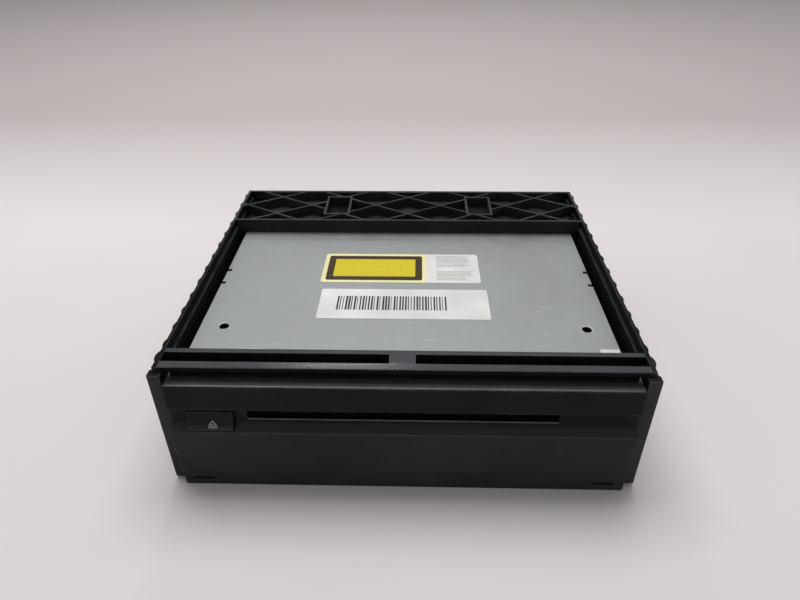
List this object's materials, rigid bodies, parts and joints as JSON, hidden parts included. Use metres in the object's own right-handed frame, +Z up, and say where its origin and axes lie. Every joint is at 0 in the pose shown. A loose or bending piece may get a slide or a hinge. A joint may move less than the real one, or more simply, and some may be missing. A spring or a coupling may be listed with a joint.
{
  "type": "car dvd drive",
  "caption": "Slot-loading car DVD drive in a black mounting cage, with a coved face, an eject key, a bare metal cover and a lattice rear deck.",
  "frame": {"origin": "on the standing surface, under the middle of the drive's overall box", "axes": "+X to the right as seen from the front, +Y from the face to the back, +Z up"},
  "size_m": [0.194, 0.1712, 0.0591],
  "materials": {
    "black_plastic": "moulded black plastic of the cage, fine texture, satin",
    "face_plastic": "fine-textured black plastic of the face and its key",
    "galvanised_sheet": "galvanised sheet steel with faint spangle",
    "frame_steel": "plain pressed steel",
    "bright_steel": "ground bright steel",
    "screw_steel": "zinc-plated screw steel",
    "board_green": "green solder mask on glass-fibre board",
    "white_plastic": "off-white moulded acetal",
    "dark_rubber": "dark matt rubber",
    "black_felt": "black dust felt",
    "lens_glass": "small coated lens",
    "paper_label": "plain printed paper label"
  },
  "bodies": {
    "drive": {"mounting_cage": "black_plastic", "front_panel": "face_plastic", "eject_switch": "dark_rubber", "front_board": "board_green", "upper_felt": "black_felt", "lower_felt": "black_felt", "top_cover": "galvanised_sheet", "chassis_tray": "galvanised_sheet", "cage_screw_right_1": "screw_steel", "cage_screw_left_1": "screw_steel", "cage_screw_right_2": "screw_steel", "cage_screw_left_2": "screw_steel", "cover_screw_left": "screw_steel", "cover_screw_right": "screw_steel", "main_board": "board_green", "rear_socket": "black_plastic", "mechanism_frame": "frame_steel", "damper_right_1": "dark_rubber", "damper_left_1": "dark_rubber", "damper_right_2": "dark_rubber", "damper_left_2": "dark_rubber", "disc_guide": "black_plastic", "traverse_plate": "frame_steel", "spindle_motor": "frame_steel", "guide_rod_left": "bright_steel", "guide_rod_right": "bright_steel", "sled_motor": "frame_steel", "clamp_shaft": "bright_steel", "clamp_spring": "bright_steel", "pivot_pin_left": "bright_steel", "pivot_pin_right": "bright_steel"},
    "eject_key": {"eject_button": "face_plastic"},
    "spindle": {"turntable": "black_plastic"},
    "sled": {"pickup_sled": "white_plastic", "objective_lens": "lens_glass"},
    "sled_screw": {"lead_screw": "bright_steel"},
    "clamp": {"clamp_arm": "frame_steel"},
    "puck": {"clamp_puck": "white_plastic"},
    "loading_unit": {"roller_bracket": "frame_steel", "loading_motor": "frame_steel", "idler_pin": "bright_steel"},
    "roller": {"feed_roller": "dark_rubber", "roller_shaft": "bright_steel", "roller_gear": "white_plastic"},
    "idler": {"idler_gear": "white_plastic"},
    "pinion": {"motor_pinion": "white_plastic"},
    "cam": {"cam_slide": "bright_steel"}
  },
  "joints": [
    {"name": "eject_press", "type": "slide", "parent": "drive", "child": "eject_key", "axis": [0, 1, 0], "range_m": [0, 0.001], "stiffness_N_per_m": 400, "springref_m": -0.001},
    {"name": "turntable_spin", "type": "hinge", "parent": "drive", "child": "spindle", "pos_m": [0, 0.0024, 0.034], "axis": [0, 0, 1], "continuous": true},
    {"name": "sled_slide", "type": "slide", "parent": "drive", "child": "sled", "axis": [0, 1, 0], "range_m": [0, 0.034]},
    {"name": "lead_screw_spin", "type": "hinge", "parent": "drive", "child": "sled_screw", "pos_m": [0.0348, 0.0264, 0.0236], "axis": [0, 1, 0], "range_deg": [0, 4080]},
    {"name": "cam_travel", "type": "slide", "parent": "drive", "child": "cam", "axis": [0, 1, 0], "range_m": [0, 0.006]},
    {"name": "loader_lift", "type": "hinge", "parent": "drive", "child": "loading_unit", "pos_m": [0, -0.0396, 0.0242], "axis": [-1, 0, 0], "range_deg": [0, 9]},
    {"name": "clamp_swing", "type": "hinge", "parent": "drive", "child": "clamp", "pos_m": [0, 0.0724, 0.044], "axis": [-1, 0, 0], "range_deg": [0, 5]},
    {"name": "puck_spin", "type": "hinge", "parent": "clamp", "child": "puck", "pos_m": [0, 0.0024, 0.038], "axis": [0, 0, 1], "continuous": true},
    {"name": "roller_spin", "type": "hinge", "parent": "loading_unit", "child": "roller", "pos_m": [0, -0.0626, 0.0309], "axis": [1, 0, 0], "continuous": true},
    {"name": "idler_spin", "type": "hinge", "parent": "loading_unit", "child": "idler", "pos_m": [0.069, -0.05556, 0.01754], "axis": [1, 0, 0], "continuous": true},
    {"name": "pinion_spin", "type": "hinge", "parent": "loading_unit", "child": "pinion", "pos_m": [0.069, -0.0436, 0.0157], "axis": [1, 0, 0], "continuous": true}
  ],
  "couplings": [
    {"joint": "lead_screw_spin", "follows": "sled_slide", "rad_per_m": 2094.4},
    {"joint": "loader_lift", "follows": "cam_travel", "rad_per_m": 26.18},
    {"joint": "clamp_swing", "follows": "cam_travel", "rad_per_m": 14.544},
    {"joint": "puck_spin", "follows": "turntable_spin", "ratio": 1},
    {"joint": "idler_spin", "follows": "roller_spin", "ratio": -0.66667},
    {"joint": "pinion_spin", "follows": "roller_spin", "ratio": 2}
  ]
}
